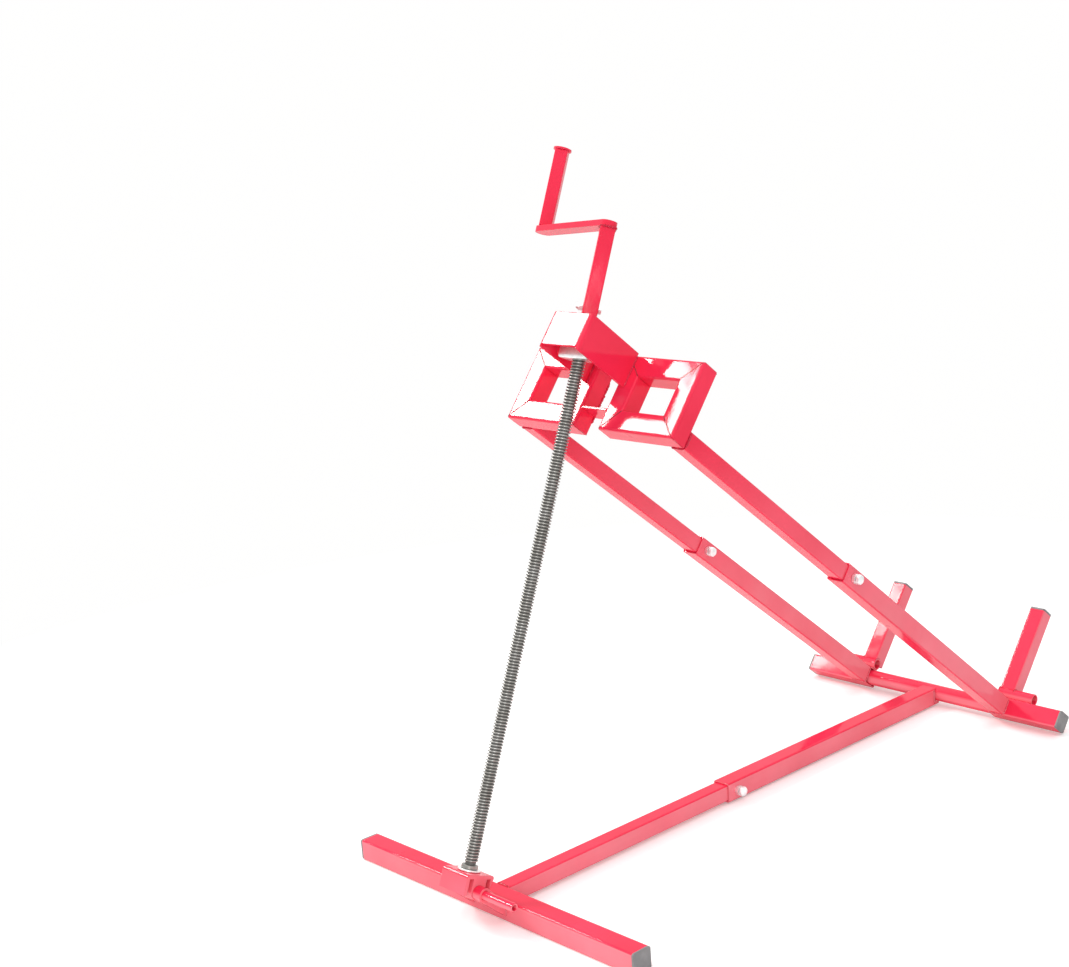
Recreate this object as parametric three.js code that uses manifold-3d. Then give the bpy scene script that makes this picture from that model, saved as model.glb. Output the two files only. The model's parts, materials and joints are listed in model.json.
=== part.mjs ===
// Screw-operated lift that raises one end of a ride-on mower.
// Millimetres, +Z up, +Y from the front foot towards the rear hinge, X across the lift.
// The origin is on the floor, under the middle of the front foot.

import * as THREE from 'three';
import { mergeVertices } from 'three/addons/utils/BufferGeometryUtils.js';
import Module from 'manifold-3d';

const wasm = await Module();
wasm.setup();

// Clearances and the one overrun that every cut uses
const FIT_GAP = 0.3;
const CUT_OVERRUN = 1;
const CORNER_STEPS = 2;
const ROUND_STEPS = 14;
const QUARTER_TURN = Math.PI / 2;

// Square tubes: the sleeves and the foot, and the size that slides in them
const TUBE = 30;
const TUBE_WALL = 2;
const TUBE_CORNER = 3;
const SLIDE_TUBE = 25;
const SLIDE_WALL = 2;
const SLIDE_CORNER = 2.6;

// Front foot and its end caps
const FOOT_LENGTH = 538;
const CAP_FLANGE = 3;
const CAP_SPIGOT = 14;
const CAP_WALL = 2;

// Base beam: an inner tube from the foot slides in a sleeve from the rear hinge
const HINGE_FROM_FOOT = 988;
const BASE_SLEEVE_START = 445;
const BASE_OVERLAP = 170;

// Rear hinge: square stub tubes turn on one round pipe
const STUB_WALL = 1.5;
const STUB_OUTER_END = 254;
const PIPE_DIAMETER = 26.4;
const PIPE_WALL = 2.6;
const PIPE_END_GAP = 1;

// Lift arms, at their slope in the raised position
const ARM_SLOPE = THREE.MathUtils.degToRad(37.9);
const ARM_SLEEVE_LENGTH = 531;
const ARM_OVERLAP = 160;

// Wheel cradles, welded frames at the front ends of the arms
const CRADLE_WIDTH = 132.6;
const CRADLE_HEIGHT = 110;
const CRADLE_GAP = 45.8;
const TIE_THICKNESS = 3;

// Head bracket, a bent sheet that joins both cradles and holds the nut
const HEAD_REACH = 99;
const HEAD_WIDTH = 74;
const HEAD_SHEET = 4;
const HEAD_BEND = 6;
const HEAD_RISE = 3;
const HEAD_DEPTH = 51;
const HEAD_FRONT_SHORTER = 3;

// Swivelling nut and the rings that its trunnions turn in
const NUT_ABOVE_ARM = 68;
const NUT_FROM_CRADLE = 60.2;
const NUT_SIDE = 28;
const NUT_CORNER = 4;
const NUT_BORE = 18.5;
const TRUNNION = 16;
const SADDLE_WIDTH = 6;
const SADDLE_WALL = 6;

// Swivel at the foot: pin, lugs on the foot, and the block that the screw stands in
const PIN_FROM_FOOT = 47;
const PIN_HEIGHT = 50;
const PIN_DIAMETER = 12;
const PIN_WALL = 2.5;
const PIN_LEFT_END = 42;
const PIN_RIGHT_END = 96;
const LUG_WIDTH = 14;
const LUG_BOSS_WALL = 3.2;
const LUG_FOOT_LOW = 8;
const LUG_FOOT_HIGH = 26;
const BLOCK_WIDTH = 50;
const BLOCK_DEPTH = 45;
const BLOCK_TOP = 22;
const BLOCK_LEG = 5;
const BLOCK_WALL = 5;
const BLOCK_CORNER = 4;
const BLOCK_BOSS = 22;
const PIN_SIDE_GAP = 0.5;
const WASHER_DIAMETER = 30;
const WASHER_THICKNESS = 2.5;

// Screw: the plain shaft has the thread's mean diameter
const SCREW_MEAN = 16;
const JOURNAL = 12;
const JOURNAL_LENGTH = 12;
const SCREW_IN_SOCKET = 50;
const COLLAR_DIAMETER = 22;
const COLLAR_LENGTH = 5;

// Crank: socket tube on the screw, flat bar, and a grip that turns on a pin
const SOCKET_ABOVE_NUT = 45.7;
const SOCKET_LENGTH = 116;
const SOCKET_TUBE = 20;
const SOCKET_WALL = 1.5;
const SOCKET_CORNER = 2;
const SOCKET_TURN = THREE.MathUtils.degToRad(50);
const CRANK_TURN = THREE.MathUtils.degToRad(-11.3);
const CRANK_REACH = 158;
const CRANK_BAR_WIDTH = 22;
const CRANK_BAR_THICKNESS = 8;
const CRANK_BAR_MARGIN = 4;
const CROSS_BOLT = 6;
const CROSS_BOLT_HEIGHT = 9;
const GRIP_TUBE = 18;
const GRIP_WALL = 1.5;
const GRIP_LENGTH = 107;
const GRIP_PIN = 14.4;
const GRIP_WASHER = 25;
const GRIP_WASHER_THICKNESS = 2.5;
const GRIP_TURN = THREE.MathUtils.degToRad(50);

// Wheel stops behind the arms
const STOP_TUBE = 28;
const STOP_WALL = 2;
const STOP_HEIGHT = 180;
const STOP_BACK_SET = 6.5;
const STOP_ROUND = 20;
const STOP_ROUND_WALL = 2.5;
const STOP_ROUND_END = 195;

// Clamp screws and the nuts that are welded on the sleeves
const CLAMP_SCREW = 8;
const CLAMP_FLATS = 13;
const CLAMP_NUT_HEIGHT = 6.5;
const CLAMP_HEAD_HEIGHT = 5.3;
const CLAMP_STANDOFF = 1.5;
const CLAMP_FROM_END = 20;
const CROSS_FLATS = 10;
const CROSS_HEAD_HEIGHT = 4;
const CROSS_NUT_HEIGHT = 5;
const CROSS_DOME = 9.5;

// The finish of each kind of surface
const paint = new THREE.MeshStandardMaterial({ color: 0xe8203f, roughness: 0.25, metalness: 0.0 });
const zinc = new THREE.MeshStandardMaterial({ color: 0xc9ccd0, roughness: 0.35, metalness: 1.0 });
const screwSteel = new THREE.MeshStandardMaterial({ color: 0x8f8e8b, roughness: 0.3, metalness: 1.0 });
const capPlastic = new THREE.MeshStandardMaterial({ color: 0x55585c, roughness: 0.6, metalness: 0.0 });

// Places that several pieces share, worked out from the sizes above
const stubReach = (TUBE / 2) * (Math.cos(ARM_SLOPE) + Math.sin(ARM_SLOPE));
const hingeHeight = stubReach;
const baseAxisHeight = TUBE - SLIDE_TUBE / 2;

// The screw stands on the line from the foot pin to the nut, both as far from the hinge
const pinDistance = Math.hypot(HINGE_FROM_FOOT + PIN_FROM_FOOT, PIN_HEIGHT - hingeHeight);
const pinElevation = Math.atan2(PIN_HEIGHT - hingeHeight, HINGE_FROM_FOOT + PIN_FROM_FOOT);
const nutElevation = ARM_SLOPE + Math.asin(NUT_ABOVE_ARM / pinDistance);
const nutForward = Math.sqrt(pinDistance ** 2 - NUT_ABOVE_ARM ** 2);
const screwLean = (pinElevation + nutElevation) / 2;
const nutOnScrew = 2 * pinDistance * Math.sin((nutElevation - pinElevation) / 2);
const washerLow = BLOCK_TOP + FIT_GAP;
const collarLow = washerLow + WASHER_THICKNESS + FIT_GAP;
const socketStart = nutOnScrew + SOCKET_ABOVE_NUT;
const socketTop = socketStart + SOCKET_LENGTH;
const gripLow = socketTop + CRANK_BAR_THICKNESS + 2 * FIT_GAP;

// The cradles and the head stand round the nut, and the arms under the outer ends of the cradles
const armCentre = CRADLE_GAP / 2 + CRADLE_WIDTH - SLIDE_TUBE / 2;
const armInnerFace = armCentre - TUBE / 2;
const armSleeveEnd = TUBE / 2 + ARM_SLEEVE_LENGTH;
const cradleFront = nutForward - NUT_FROM_CRADLE;
const cradleMiddle = cradleFront - TUBE / 2;
const cradleLow = -SLIDE_TUBE / 2;
const cradleHigh = cradleLow + CRADLE_HEIGHT;
const headFront = cradleFront + HEAD_REACH;
const headHigh = cradleHigh + HEAD_RISE;
const headLow = headHigh - HEAD_DEPTH;
const headInside = HEAD_WIDTH / 2 - HEAD_SHEET;

// Helpers for shapes

function roundedSquare(side, corner, path = new THREE.Shape()) {
  const inset = side / 2 - corner;
  path.absarc(inset, -inset, corner, -QUARTER_TURN, 0);
  path.absarc(inset, inset, corner, 0, QUARTER_TURN);
  path.absarc(-inset, inset, corner, QUARTER_TURN, 2 * QUARTER_TURN);
  path.absarc(-inset, -inset, corner, 2 * QUARTER_TURN, 3 * QUARTER_TURN);
  path.closePath();
  return path;
}

function squareTube(side, corner, wall) {
  const shape = roundedSquare(side, corner);
  const insideCorner = Math.max(corner - wall, FIT_GAP);
  shape.holes.push(roundedSquare(side - 2 * wall, insideCorner, new THREE.Path()));
  return shape;
}

function disc(diameter, path = new THREE.Shape()) {
  path.absarc(0, 0, diameter / 2, 0, 4 * QUARTER_TURN);
  return path;
}

function ring(outer, inner) {
  const shape = disc(outer);
  shape.holes.push(disc(inner, new THREE.Path()));
  return shape;
}

function hexagon(flats, hole) {
  const corner = flats / Math.sqrt(3);
  const points = [];
  for (let i = 0; i < 6; i += 1) {
    const turn = (i * Math.PI) / 3;
    points.push(new THREE.Vector2(corner * Math.cos(turn), corner * Math.sin(turn)));
  }
  const shape = new THREE.Shape(points);
  if (hole) {
    shape.holes.push(disc(hole, new THREE.Path()));
  }
  return shape;
}

// Helpers that lay a section along an axis: the section's two axes follow in the order X, Y, Z

const axisBasis = {
  x: [new THREE.Vector3(0, 1, 0), new THREE.Vector3(0, 0, 1), new THREE.Vector3(1, 0, 0)],
  y: [new THREE.Vector3(0, 0, 1), new THREE.Vector3(1, 0, 0), new THREE.Vector3(0, 1, 0)],
  z: [new THREE.Vector3(1, 0, 0), new THREE.Vector3(0, 1, 0), new THREE.Vector3(0, 0, 1)],
};

function prism(shape, axis, from, to, curveSegments = CORNER_STEPS) {
  const low = Math.min(from, to);
  const options = { depth: Math.abs(to - from), bevelEnabled: false, curveSegments };
  const geometry = new THREE.ExtrudeGeometry(shape, options);
  geometry.translate(0, 0, low);
  return geometry.applyMatrix4(new THREE.Matrix4().makeBasis(...axisBasis[axis]));
}

function round(diameter, axis, from, to) {
  return prism(disc(diameter), axis, from, to, ROUND_STEPS);
}

function block(width, depth, height) {
  return new THREE.BoxGeometry(width, depth, height);
}

function toSolid(geometry) {
  const plain = geometry.clone();
  plain.deleteAttribute('normal');
  plain.deleteAttribute('uv');
  const merged = mergeVertices(plain);
  const vertProperties = new Float32Array(merged.attributes.position.array);
  const triVerts = new Uint32Array(merged.index.array);
  return new wasm.Manifold(new wasm.Mesh({ numProp: 3, vertProperties, triVerts }));
}

function toGeometry(solid) {
  const mesh = solid.getMesh();
  const geometry = new THREE.BufferGeometry();
  geometry.setAttribute('position', new THREE.BufferAttribute(mesh.vertProperties, 3));
  geometry.setIndex(new THREE.BufferAttribute(mesh.triVerts, 1));
  const flat = geometry.toNonIndexed();
  flat.computeVertexNormals();
  return flat;
}

function cut(geometry, ...tools) {
  const solid = tools.reduce((rest, tool) => rest.subtract(toSolid(tool)), toSolid(geometry));
  return toGeometry(solid);
}

function join(geometry, ...others) {
  const solid = others.reduce((whole, other) => whole.add(toSolid(other)), toSolid(geometry));
  return toGeometry(solid);
}

function keep(geometry, mask) {
  return toGeometry(toSolid(geometry).intersect(toSolid(mask)));
}

function add(group, name, geometry, material) {
  const mesh = new THREE.Mesh(geometry, material);
  mesh.name = name;
  group.add(mesh);
  return mesh;
}

const sides = [['left', -1], ['right', 1]];

// Front base

function footTube() {
  const half = FOOT_LENGTH / 2;
  return prism(squareTube(TUBE, TUBE_CORNER, TUBE_WALL), 'x', -half, half).translate(0, 0, TUBE / 2);
}

// A plastic plug: a flange as large as the tube, and a hollow spigot inside it
function tubePlug(side, corner, wall, spigot, inward) {
  const bore = side - 2 * wall - 2 * FIT_GAP;
  const flange = prism(roundedSquare(side, corner), 'x', 0, -inward * CAP_FLANGE);
  const insert = squareTube(bore, corner / 2, CAP_WALL);
  return join(flange, prism(insert, 'x', -inward * CAP_FLANGE / 2, inward * spigot));
}

function baseSlide() {
  const section = squareTube(SLIDE_TUBE, SLIDE_CORNER, SLIDE_WALL);
  const rear = BASE_SLEEVE_START + BASE_OVERLAP;
  return prism(section, 'y', TUBE / 2, rear).translate(0, 0, baseAxisHeight);
}

// The point where a line from a point outside a circle touches it, on the side that turn names
function tangentPoint(outside, centre, radius, turn) {
  const away = outside.clone().sub(centre);
  const angle = away.angle() + turn * Math.acos(radius / away.length());
  return new THREE.Vector2(Math.cos(angle), Math.sin(angle)).multiplyScalar(radius).add(centre);
}

function pinLug() {
  const pin = new THREE.Vector2(-PIN_FROM_FOOT, PIN_HEIGHT);
  const bore = PIN_DIAMETER + 2 * FIT_GAP;
  const boss = bore / 2 + LUG_BOSS_WALL;
  const high = new THREE.Vector2(-TUBE / 2, LUG_FOOT_HIGH);
  const low = new THREE.Vector2(-TUBE / 2, LUG_FOOT_LOW);
  const from = tangentPoint(high, pin, boss, 1);
  const to = tangentPoint(low, pin, boss, -1);
  const shape = new THREE.Shape();
  shape.moveTo(low.x, low.y);
  shape.lineTo(high.x, high.y);
  shape.lineTo(from.x, from.y);
  shape.absarc(pin.x, pin.y, boss, from.sub(pin).angle(), to.sub(pin).angle(), false);
  shape.closePath();
  const hole = new THREE.Path();
  hole.absarc(pin.x, pin.y, bore / 2, 0, 4 * QUARTER_TURN);
  shape.holes.push(hole);
  return prism(shape, 'x', -LUG_WIDTH / 2, LUG_WIDTH / 2, ROUND_STEPS);
}

function frontBase() {
  const group = new THREE.Group();
  add(group, 'front_foot', footTube(), paint);
  add(group, 'base_beam_inner', baseSlide(), paint);
  const pinSection = ring(PIN_DIAMETER, PIN_DIAMETER - 2 * PIN_WALL);
  const pinGeometry = prism(pinSection, 'x', -PIN_LEFT_END, PIN_RIGHT_END, ROUND_STEPS);
  add(group, 'swivel_pin', pinGeometry.translate(0, -PIN_FROM_FOOT, PIN_HEIGHT), paint);
  const lugAt = BLOCK_WIDTH / 2 + PIN_SIDE_GAP + LUG_WIDTH / 2;
  for (const [side, sign] of sides) {
    const cap = tubePlug(TUBE, TUBE_CORNER, TUBE_WALL, CAP_SPIGOT, -sign);
    add(group, `foot_cap_${side}`, cap, capPlastic).position.set(sign * FOOT_LENGTH / 2, 0, TUBE / 2);
    add(group, `pin_lug_${side}`, pinLug(), paint).position.x = sign * lugAt;
  }
  return group;
}

// Rear base

function baseSleeve() {
  const section = squareTube(TUBE, TUBE_CORNER, TUBE_WALL);
  const tube = prism(section, 'y', BASE_SLEEVE_START, HINGE_FROM_FOOT);
  tube.translate(0, 0, baseAxisHeight);
  const cope = round(PIPE_DIAMETER + 2 * FIT_GAP, 'x', -TUBE, TUBE);
  cope.translate(0, HINGE_FROM_FOOT, hingeHeight);
  const screwHole = round(CLAMP_SCREW + 2 * FIT_GAP, 'x', 0, TUBE);
  screwHole.translate(0, BASE_SLEEVE_START + CLAMP_FROM_END, baseAxisHeight);
  return cut(tube, cope, screwHole);
}

function hingePipe() {
  const end = STUB_OUTER_END - CAP_SPIGOT - PIPE_END_GAP;
  const inside = PIPE_DIAMETER - 2 * PIPE_WALL;
  return prism(ring(PIPE_DIAMETER, inside), 'x', -end, end, ROUND_STEPS);
}

// Clamp parts lie along X, and start from the face of the sleeve at x = 0

function clampNut() {
  return prism(hexagon(CLAMP_FLATS, CLAMP_SCREW + 2 * FIT_GAP), 'x', 0, CLAMP_NUT_HEIGHT, ROUND_STEPS);
}

function clampScrew() {
  const headAt = CLAMP_NUT_HEIGHT + CLAMP_STANDOFF;
  const slideFace = (TUBE - SLIDE_TUBE) / 2;
  const shank = round(CLAMP_SCREW, 'x', FIT_GAP - slideFace, headAt + CLAMP_HEAD_HEIGHT / 2);
  const head = prism(hexagon(CLAMP_FLATS), 'x', headAt, headAt + CLAMP_HEAD_HEIGHT);
  return join(head, shank);
}

function rearBase() {
  const group = new THREE.Group();
  add(group, 'base_beam_outer', baseSleeve(), paint);
  add(group, 'hinge_pipe', hingePipe(), paint).position.set(0, HINGE_FROM_FOOT, hingeHeight);
  const clampAt = [TUBE / 2, BASE_SLEEVE_START + CLAMP_FROM_END, baseAxisHeight];
  add(group, 'base_clamp_nut', clampNut(), zinc).position.set(...clampAt);
  add(group, 'base_clamp_screw', clampScrew(), zinc).position.set(...clampAt);
  return group;
}

// Lift frame, about the hinge axis: Y runs along the arms towards the rear, Z is square to them

function stub(sign) {
  const section = squareTube(TUBE, TUBE_CORNER, STUB_WALL);
  return prism(section, 'x', sign * armInnerFace, sign * STUB_OUTER_END);
}

function armSleeve() {
  const section = squareTube(TUBE, TUBE_CORNER, TUBE_WALL);
  const tube = prism(section, 'y', -armSleeveEnd, -TUBE / 2 - FIT_GAP);
  const screwHole = round(CLAMP_SCREW + 2 * FIT_GAP, 'x', 0, TUBE);
  screwHole.translate(0, -armSleeveEnd + CLAMP_FROM_END, 0);
  return cut(tube, screwHole);
}

function armSlide() {
  const section = squareTube(SLIDE_TUBE, SLIDE_CORNER, SLIDE_WALL);
  return prism(section, 'y', TUBE - cradleFront + FIT_GAP, -armSleeveEnd + ARM_OVERLAP);
}

function stopPost() {
  const section = squareTube(STOP_TUBE, TUBE_CORNER, STOP_WALL);
  const roundAt = TUBE / 2 + FIT_GAP + STOP_ROUND / 2;
  const post = prism(section, 'z', roundAt, STOP_HEIGHT).translate(0, STOP_BACK_SET, 0);
  const cope = round(STOP_ROUND + 2 * FIT_GAP, 'x', -TUBE, TUBE).translate(0, 0, roundAt);
  return cut(post, cope);
}

function stopRound(sign) {
  const section = ring(STOP_ROUND, STOP_ROUND - 2 * STOP_ROUND_WALL);
  const tube = prism(section, 'x', sign * armInnerFace, sign * STOP_ROUND_END, ROUND_STEPS);
  return tube.translate(0, 0, TUBE / 2 + FIT_GAP + STOP_ROUND / 2);
}

function stopCap() {
  const bore = STOP_TUBE - 2 * STOP_WALL - 2 * FIT_GAP;
  const flange = prism(roundedSquare(STOP_TUBE, TUBE_CORNER), 'z', FIT_GAP, FIT_GAP + CAP_FLANGE);
  const insert = squareTube(bore, TUBE_CORNER / 2, CAP_WALL);
  return join(flange, prism(insert, 'z', -CAP_SPIGOT, FIT_GAP + CAP_FLANGE / 2));
}

function lowerLift() {
  const group = new THREE.Group();
  for (const [side, sign] of sides) {
    add(group, `stub_tube_${side}`, stub(sign), paint);
    const cap = tubePlug(TUBE, TUBE_CORNER, STUB_WALL, CAP_SPIGOT, -sign);
    add(group, `stub_cap_${side}`, cap, capPlastic).position.x = sign * STUB_OUTER_END;
    add(group, `arm_sleeve_${side}`, armSleeve(), paint).position.x = sign * armCentre;
    add(group, `stop_post_${side}`, stopPost(), paint).position.x = sign * armCentre;
    add(group, `stop_round_${side}`, stopRound(sign), paint);
    const capMesh = add(group, `stop_cap_${side}`, stopCap(), capPlastic);
    capMesh.position.set(sign * armCentre, STOP_BACK_SET, STOP_HEIGHT);
    const clampAt = [sign * armCentre + TUBE / 2 + FIT_GAP, -armSleeveEnd + CLAMP_FROM_END, 0];
    add(group, `arm_clamp_nut_${side}`, clampNut(), zinc).position.set(...clampAt);
    add(group, `arm_clamp_screw_${side}`, clampScrew(), zinc).position.set(...clampAt);
  }
  return group;
}

// One mitred bar of a cradle, along X, with its outer side down
function mitredBar(length) {
  const half = length / 2;
  const tube = prism(squareTube(TUBE, TUBE_CORNER, TUBE_WALL), 'x', -half, half);
  const gap = (FIT_GAP / 2) * Math.SQRT2;
  const wide = half - gap + CUT_OVERRUN;
  const narrow = half - gap - TUBE - CUT_OVERRUN;
  const low = -TUBE / 2 - CUT_OVERRUN;
  const high = TUBE / 2 + CUT_OVERRUN;
  const mask = new THREE.Shape([
    new THREE.Vector2(low, -wide),
    new THREE.Vector2(high, -narrow),
    new THREE.Vector2(high, narrow),
    new THREE.Vector2(low, wide),
  ]);
  return keep(tube, prism(mask, 'y', low, high));
}

function addCradle(group, side, sign) {
  const middleX = (sign * (CRADLE_GAP + CRADLE_WIDTH)) / 2;
  const middleZ = (cradleLow + cradleHigh) / 2;
  const reachX = (CRADLE_WIDTH - TUBE) / 2;
  const reachZ = (CRADLE_HEIGHT - TUBE) / 2;
  const bars = [
    ['bottom', CRADLE_WIDTH, 0, 0, -reachZ],
    ['top', CRADLE_WIDTH, 2 * QUARTER_TURN, 0, reachZ],
    ['outer', CRADLE_HEIGHT, -sign * QUARTER_TURN, sign * reachX, 0],
    ['inner', CRADLE_HEIGHT, sign * QUARTER_TURN, -sign * reachX, 0],
  ];
  for (const [place, length, turn, x, z] of bars) {
    const mesh = add(group, `cradle_${side}_${place}`, mitredBar(length), paint);
    mesh.rotation.y = turn;
    mesh.position.set(middleX + x, -cradleMiddle, middleZ + z);
  }
}

function tiePlate() {
  const width = CRADLE_GAP - 2 * FIT_GAP;
  const plate = block(width, TUBE - 2 * FIT_GAP, TIE_THICKNESS);
  return plate.translate(0, -cradleMiddle, cradleLow + TUBE - TIE_THICKNESS / 2);
}

// The bent sheet seen from above: two sides and a front, with round bends
function headOutline() {
  const out = HEAD_WIDTH / 2;
  const back = -cradleFront - FIT_GAP;
  const bendX = out - HEAD_BEND;
  const bendY = -headFront + HEAD_BEND;
  const inner = HEAD_BEND - HEAD_SHEET;
  const shape = new THREE.Shape();
  shape.moveTo(-out, back);
  shape.absarc(-bendX, bendY, HEAD_BEND, 2 * QUARTER_TURN, 3 * QUARTER_TURN);
  shape.absarc(bendX, bendY, HEAD_BEND, -QUARTER_TURN, 0);
  shape.lineTo(out, back);
  shape.lineTo(headInside, back);
  shape.absarc(bendX, bendY, inner, 0, -QUARTER_TURN, true);
  shape.absarc(-bendX, bendY, inner, -QUARTER_TURN, -2 * QUARTER_TURN, true);
  shape.lineTo(-headInside, back);
  shape.closePath();
  return shape;
}

function headBracket() {
  const sheet = prism(headOutline(), 'z', headLow, headHigh, 2 * CORNER_STEPS);
  const window = block(2 * headInside, 2 * HEAD_BEND, 2 * HEAD_FRONT_SHORTER);
  return cut(sheet, window.translate(0, -headFront, headLow));
}

function nutSaddle() {
  const bore = TRUNNION + 2 * FIT_GAP;
  const outer = bore + 2 * SADDLE_WALL;
  return prism(ring(outer, bore), 'x', -SADDLE_WIDTH / 2, SADDLE_WIDTH / 2, ROUND_STEPS);
}

function upperLift() {
  const group = new THREE.Group();
  for (const [side, sign] of sides) {
    add(group, `arm_slide_${side}`, armSlide(), paint).position.x = sign * armCentre;
    addCradle(group, side, sign);
    const saddle = add(group, `nut_saddle_${side}`, nutSaddle(), paint);
    saddle.position.set(sign * (headInside - FIT_GAP - SADDLE_WIDTH / 2), -nutForward, NUT_ABOVE_ARM);
  }
  add(group, 'cradle_tie_plate', tiePlate(), paint);
  add(group, 'head_bracket', headBracket(), paint);
  return group;
}

// The nut, about its trunnion axis, with its bore along Z
function swivelNut() {
  const half = headInside - FIT_GAP - SADDLE_WIDTH - PIN_SIDE_GAP;
  const reach = headInside - PIN_SIDE_GAP;
  const body = prism(roundedSquare(NUT_SIDE, NUT_CORNER), 'x', -half, half);
  const trunnions = round(TRUNNION, 'x', -reach, reach);
  const bore = round(NUT_BORE, 'z', -NUT_SIDE, NUT_SIDE);
  return cut(join(body, trunnions), bore);
}

// Screw group, about the foot pin: Z runs up the screw

// An inverted channel over a bored boss, with a blind hole in the top for the journal
function swivelBlock() {
  const half = BLOCK_DEPTH / 2;
  const inside = half - BLOCK_WALL;
  const bendY = half - BLOCK_CORNER;
  const bendZ = BLOCK_TOP - BLOCK_CORNER;
  const channel = new THREE.Shape();
  channel.moveTo(half, -BLOCK_LEG);
  channel.absarc(bendY, bendZ, BLOCK_CORNER, 0, QUARTER_TURN);
  channel.absarc(-bendY, bendZ, BLOCK_CORNER, QUARTER_TURN, 2 * QUARTER_TURN);
  channel.lineTo(-half, -BLOCK_LEG);
  channel.lineTo(-inside, -BLOCK_LEG);
  channel.lineTo(-inside, BLOCK_TOP - BLOCK_WALL);
  channel.lineTo(inside, BLOCK_TOP - BLOCK_WALL);
  channel.lineTo(inside, -BLOCK_LEG);
  channel.closePath();
  const boss = new THREE.Shape();
  boss.moveTo(BLOCK_BOSS / 2, BLOCK_TOP - BLOCK_WALL / 2);
  boss.lineTo(-BLOCK_BOSS / 2, BLOCK_TOP - BLOCK_WALL / 2);
  boss.absarc(0, 0, BLOCK_BOSS / 2, 2 * QUARTER_TURN, 4 * QUARTER_TURN);
  boss.closePath();
  const end = BLOCK_WIDTH / 2;
  const body = join(prism(channel, 'x', -end, end), prism(boss, 'x', -end, end, ROUND_STEPS));
  const pinHole = round(PIN_DIAMETER + 2 * FIT_GAP, 'x', -BLOCK_WIDTH, BLOCK_WIDTH);
  const holeLow = BLOCK_TOP - JOURNAL_LENGTH - FIT_GAP;
  return cut(body, pinHole, round(JOURNAL + 2 * FIT_GAP, 'z', holeLow, BLOCK_TOP + CUT_OVERRUN));
}

function thrustWasher() {
  const section = ring(WASHER_DIAMETER, JOURNAL + 2 * FIT_GAP);
  return prism(section, 'z', washerLow, washerLow + WASHER_THICKNESS, ROUND_STEPS);
}

// Journal, collar and shaft are one turned bar, with a cross hole near the top
function screwRod() {
  const top = socketStart + SCREW_IN_SOCKET;
  const profile = [
    [0, BLOCK_TOP - JOURNAL_LENGTH],
    [JOURNAL / 2, BLOCK_TOP - JOURNAL_LENGTH],
    [JOURNAL / 2, collarLow],
    [COLLAR_DIAMETER / 2, collarLow],
    [COLLAR_DIAMETER / 2, collarLow + COLLAR_LENGTH],
    [SCREW_MEAN / 2, collarLow + COLLAR_LENGTH],
    [SCREW_MEAN / 2, top],
    [0, top],
  ];
  const points = profile.map(([r, z]) => new THREE.Vector2(r, z));
  const rod = new THREE.LatheGeometry(points, 2 * ROUND_STEPS).rotateX(QUARTER_TURN);
  const hole = round(CROSS_BOLT + 2 * FIT_GAP, 'x', -SOCKET_TUBE, SOCKET_TUBE);
  hole.rotateZ(SOCKET_TURN).translate(0, 0, socketStart + CROSS_BOLT_HEIGHT);
  return cut(rod, hole);
}

function crankSocket() {
  const section = squareTube(SOCKET_TUBE, SOCKET_CORNER, SOCKET_WALL);
  const tube = prism(section, 'z', socketStart, socketTop);
  const hole = round(CROSS_BOLT + 2 * FIT_GAP, 'x', -SOCKET_TUBE, SOCKET_TUBE);
  hole.translate(0, 0, socketStart + CROSS_BOLT_HEIGHT);
  return cut(tube, hole);
}

// The cross bolt lies along X: its head is behind the socket, and its end is in a cap nut in front
function crossBolt() {
  const seat = SOCKET_TUBE / 2 + FIT_GAP;
  const head = prism(hexagon(CROSS_FLATS), 'x', seat, seat + CROSS_HEAD_HEIGHT);
  return join(head, round(CROSS_BOLT, 'x', seat + CROSS_HEAD_HEIGHT / 2, -seat - CROSS_NUT_HEIGHT));
}

function capNut() {
  const seat = -SOCKET_TUBE / 2 - FIT_GAP;
  const face = seat - CROSS_NUT_HEIGHT;
  const body = prism(hexagon(CROSS_FLATS), 'x', face, seat);
  const dome = new THREE.SphereGeometry(CROSS_DOME / 2, ROUND_STEPS, ROUND_STEPS).translate(face, 0, 0);
  const bore = round(CROSS_BOLT + 2 * FIT_GAP, 'x', face - FIT_GAP, seat + CUT_OVERRUN);
  return cut(join(body, dome), bore);
}

// A flat bar with round ends, over the socket at one end and under the grip at the other
function crankBar() {
  const radius = CRANK_BAR_WIDTH / 2;
  const shape = new THREE.Shape();
  shape.absarc(0, 0, radius, -QUARTER_TURN, QUARTER_TURN);
  shape.absarc(-CRANK_REACH - CRANK_BAR_MARGIN, 0, radius, QUARTER_TURN, 3 * QUARTER_TURN);
  shape.closePath();
  const low = socketTop + FIT_GAP;
  return prism(shape, 'z', low, low + CRANK_BAR_THICKNESS, ROUND_STEPS);
}

function gripPin() {
  const top = gripLow + GRIP_LENGTH + 2 * FIT_GAP;
  const pin = round(GRIP_PIN, 'z', gripLow, top);
  const washer = round(GRIP_WASHER, 'z', top, top + GRIP_WASHER_THICKNESS);
  return join(pin, washer);
}

function gripTube() {
  const section = squareTube(GRIP_TUBE, SOCKET_CORNER, GRIP_WALL);
  return prism(section, 'z', gripLow + FIT_GAP, gripLow + FIT_GAP + GRIP_LENGTH);
}

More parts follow.
